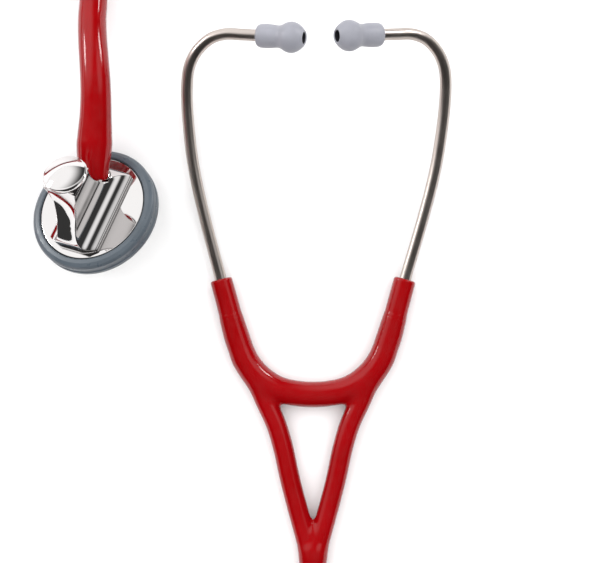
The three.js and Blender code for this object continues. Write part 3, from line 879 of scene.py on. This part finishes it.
def make_chest_body():
    """Plate, pillar, domed cap and the boss that holds the stem."""
    plate_profile = [[0, -2.6], [4, -2.6], [19.5, -4.6], [PLATE_RADIUS, -4.6], [PLATE_RADIUS, 0], [0, 0]]
    plate = lathe("chest_plate", round_off(plate_profile, [0, 1, 0.5, 0.3, 0.45, 0]), 160, STEEL, CHEST)
    lean = Matrix.Rotation(-math.radians(CAP_TILT), 4, "X")
    top = PILLAR @ Matrix.Translation(Vector((0, *CAP_CENTRE)) * MM) @ lean
    skirt = [[0, -3.4], [CAP_RADIUS - 2.6, -3.4], [CAP_RADIUS - 0.3, -2.2], [CAP_RADIUS, -1.2],
             [CAP_RADIUS, -0.1]]
    crown = [(CROWN_RADIUS * t, 0.45 + CROWN_RISE * (1 - t * t)) for t in np.linspace(1, 0, 30)]
    edge = [(CAP_RADIUS - 0.05, 0.1), (CAP_RADIUS - 0.2, 0.3), (CAP_RADIUS - 0.4, 0.41)]
    cap = lathe("chest_cap", round_off(skirt, [0, 1.5, 0.8, 0.6, 0]) + edge + crown, 144, STEEL, top)
    boss_profile = [[0, BOSS_START], [BOSS_RADIUS, BOSS_START], [BOSS_RADIUS, STEM_SEAT], [0, STEM_SEAT]]
    boss = lathe("chest_boss", round_off(boss_profile, [0, 0, 0.4, 0]), 96, STEEL, ALONG_STEM)
    pillar = make_pillar()
    cut_room(pillar, CUFF_ROOM, STEM_SEAT, STEM_SEAT + 30)
    for item in (plate, cap, boss, pillar):
        weigh = item.modifiers.new("weighted", "WEIGHTED_NORMAL")
        weigh.weight = 80
        weigh.keep_sharp = False
        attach(item, "base")
    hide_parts("chestpiece_body")


def make_rim():
    """The stepped rim that clips over the plate's edge and holds the diaphragm."""
    profile = [[23.1, 0.15], [23.1, -7.1], [21.6, -7.1], [21.6, -7.6], [26.0, -7.6], [26.8, -6.9],
               [26.9, -5.3], [26.55, -5.0], [26.5, -3.3], [26.95, -2.95], [27.0, -1.8], [26.5, -0.6],
               [25.2, 0.3], [23.6, 0.5]]
    radii = [0.15, 0.2, 0.1, 0.2, 0.5, 0.4, 0.15, 0.15, 0.15, 0.2, 0.6, 0.9, 0.9, 0.25]
    rim = lathe("rim_moulding", round_off(profile, radii, 5), 192, RIM_GREY, CHEST, closed=True)
    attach(rim, "base")
    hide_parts("chestpiece_rim")


def make_diaphragm():
    """The stiff disc and the rippled ring round it."""
    low, thick = -DIAPHRAGM_LOW, 0.4
    disc_profile = [[0, low], [20.6, low], [20.6, low + thick], [0, low + thick]]
    disc = lathe("diaphragm_disc", round_off(disc_profile, [0, 0.12, 0.12, 0]), 144, WHITE, CHEST)
    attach(disc, "diaphragm")
    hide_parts("diaphragm")
    ripple = [[20.9, -6.7], [21.4, -6.72], [21.9, -6.62], [22.3, -6.72], [22.8, -6.7], [22.8, -6.3],
              [22.3, -6.32], [21.9, -6.22], [21.4, -6.32], [20.9, -6.3]]
    surround = lathe("surround_ring", ripple, 144, RIM_GREY, CHEST, closed=True)
    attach(surround, "base")
    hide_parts("diaphragm_surround")


def make_stem():
    """The barbed stem inside the end of the tube."""
    start, end, bore = STEM_SEAT - 6.6, STEM_SEAT + CUFF_LENGTH - 3, 1.9
    profile = [[bore, start], [3, start], [3, end - 9], [3.5, end - 8.6], [3, end - 6], [3.5, end - 5.6],
               [2.7, end], [bore, end]]
    radii = [0.1, 0.2, 0.1, 0.15, 0.2, 0.15, 0.3, 0.2]
    stem = lathe("stem_steel", round_off(profile, radii, 3), 72, STEEL, ALONG_STEM, closed=True)
    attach(stem, "base")
    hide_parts("chestpiece_stem")


# ---------------------------------------------------------------- floor, light and world

FLOOR_SIZE = 6
FLOOR_DROP = 0.0002
BACKDROP_RADIUS = 5900
BACKDROP_HEIGHTS = (-3000, 9000)


def make_floor():
    material, shader = node_material("floor_white", (0.86, 0.86, 0.86), 0.85)
    tree = material.node_tree
    cloud = noise(tree, coordinates(tree, (1, 1, 1)), 3, 2)
    tree.links.new(tint(tree, cloud, (0.85, 0.85, 0.855), (0.87, 0.87, 0.87)), shader.inputs["Base Color"])
    shader.inputs["Specular IOR Level"].default_value = 0.1
    corners = [(x * FLOOR_SIZE, y * FLOOR_SIZE, -FLOOR_DROP) for x, y in ((-1, -1), (1, -1), (1, 1), (-1, 1))]
    floor = new_object("floor", corners, [(0, 1, 2, 3)], material)


def make_backdrop():
    """A pale wall far away all round, kept out of the reflections."""
    material, shader = node_material("backdrop_white", (0.8, 0.8, 0.8), 1.0)
    shader.inputs["Emission Color"].default_value = (1, 1, 1, 1)
    shader.inputs["Emission Strength"].default_value = 0.9
    shader.inputs["Specular IOR Level"].default_value = 0
    wall_profile = [(BACKDROP_RADIUS, height) for height in BACKDROP_HEIGHTS]
    wall = lathe("backdrop", wall_profile, 64, material, Matrix.Identity(4))
    wall.visible_glossy = False
    wall.visible_diffuse = False
    wall.visible_shadow = False


WORLD_DIM = 0.05
SKY_LIGHT = 3.9
# Soft patches of light: direction, inner and outer radius in degrees, level.
WORLD_PATCHES = [((-0.62, 0.78, 0.30), 26, 54, 1.3), ((0.6, 0.4, 0.7), 6, 23, 1.1)]


def area_light(name, place, target, size, power):
    data = bpy.data.lights.new(name, "AREA")
    data.shape = "RECTANGLE"
    data.size, data.size_y = size
    data.energy = power
    light = bpy.data.objects.new(name, data)
    light.location = place
    light.rotation_euler = (Vector(target) - Vector(place)).to_track_quat("-Z", "Y").to_euler()
    bpy.context.scene.collection.objects.link(light)


def glow(tree, toward, inner, outer, level):
    """A soft round patch of light in the world: its direction, its radii in degrees and its level."""
    where = tree.nodes.new("ShaderNodeTexCoord")
    dot = tree.nodes.new("ShaderNodeVectorMath")
    dot.operation = "DOT_PRODUCT"
    dot.inputs[1].default_value = Vector(toward).normalized()
    tree.links.new(where.outputs["Generated"], dot.inputs[0])
    patch = tree.nodes.new("ShaderNodeMapRange")
    patch.interpolation_type = "SMOOTHSTEP"
    patch.inputs["From Min"].default_value = math.cos(math.radians(outer))
    patch.inputs["From Max"].default_value = math.cos(math.radians(inner))
    patch.inputs["To Max"].default_value = level
    tree.links.new(dot.outputs["Value"], patch.inputs["Value"])
    return patch.outputs["Result"]


def make_world():
    """A dim studio with large soft white patches, so polished steel shows black against white."""
    world = bpy.data.worlds.new("studio")
    bpy.context.scene.world = world
    world.use_nodes = True
    tree = world.node_tree
    total = None
    for patch in WORLD_PATCHES:
        level = glow(tree, *patch)
        if total is not None:
            add = tree.nodes.new("ShaderNodeMath")
            add.operation = "ADD"
            tree.links.new(total, add.inputs[0])
            tree.links.new(level, add.inputs[1])
            level = add.outputs["Value"]
        total = level
    dim = tree.nodes.new("ShaderNodeMath")
    dim.operation = "ADD"
    dim.inputs[1].default_value = WORLD_DIM
    tree.links.new(total, dim.inputs[0])
    background = tree.nodes["Background"]
    tree.links.new(dim.outputs["Value"], background.inputs["Color"])
    background.inputs["Strength"].default_value = 1.0


def make_lights():
    """Even light from a wide sky, and two small boxes for the glints."""
    data = bpy.data.lights.new("overcast", "SUN")
    data.energy = SKY_LIGHT
    data.angle = math.radians(110)
    overcast = bpy.data.objects.new("overcast", data)
    overcast.location = (0, 0, 3)
    overcast.visible_glossy = False
    bpy.context.scene.collection.objects.link(overcast)
    area_light("left_box", (-0.78, 0.42, 0.24), (0, 0, 0), (0.2, 0.12), 1.8)
    area_light("right_box", (0.6, 0.6, 0.30), (0, 0, 0), (0.22, 0.14), 2.0)


# ---------------------------------------------------------------- CAD nodes that keep their shape

KEPT_NODES = {"headset_spring": SPRING_STEEL, "spring_clip_left": SPRING_STEEL,
              "spring_clip_right": SPRING_STEEL, "eartip_core_left": WHITE, "eartip_core_right": WHITE}


def paint_kept_nodes():
    """Gives the nodes that are shown as they are packed their own procedural materials."""
    for name, material in KEPT_NODES.items():
        data = frame["nodes"][name].data
        data.materials.clear()
        data.materials.append(material)


make_camera()
make_tube()
make_moulding()
for ear in SIDES:
    make_ear_tube(ear)
    make_eartip(ear)
make_chest_body()
make_rim()
make_diaphragm()
make_stem()
paint_kept_nodes()
make_floor()
make_backdrop()
make_world()
make_lights()
bpy.context.scene.view_settings.view_transform = "Standard"

bpy.context.view_layer.update()
